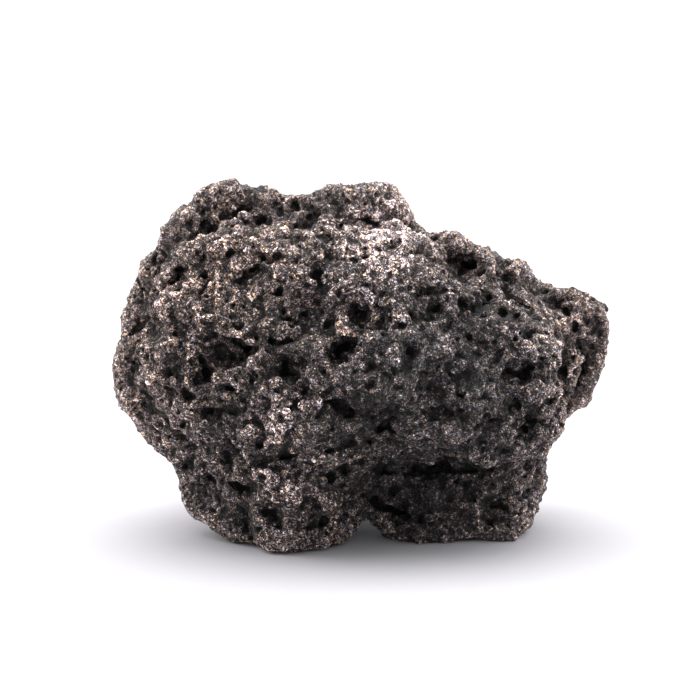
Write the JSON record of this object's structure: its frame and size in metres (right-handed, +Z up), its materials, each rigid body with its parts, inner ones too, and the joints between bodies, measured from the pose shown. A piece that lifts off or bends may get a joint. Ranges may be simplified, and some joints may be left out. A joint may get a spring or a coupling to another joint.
{
  "type": "lava rock",
  "caption": "Rugged lump of dark vesicular lava stone: a broad knobbly body with a raised crown, a side lobe and short feet that it stands on.",
  "frame": {"origin": "on the ground, below the middle of the bounding box", "axes": "+X to the right along the broad front, the longest extent; +Y away from the front towards the back; +Z up"},
  "size_m": [0.08, 0.053, 0.0575],
  "materials": {
    "lava_stone": "rough"
  },
  "bodies": {
    "root": {"lava_rock": "lava_stone"}
  },
  "joints": []
}
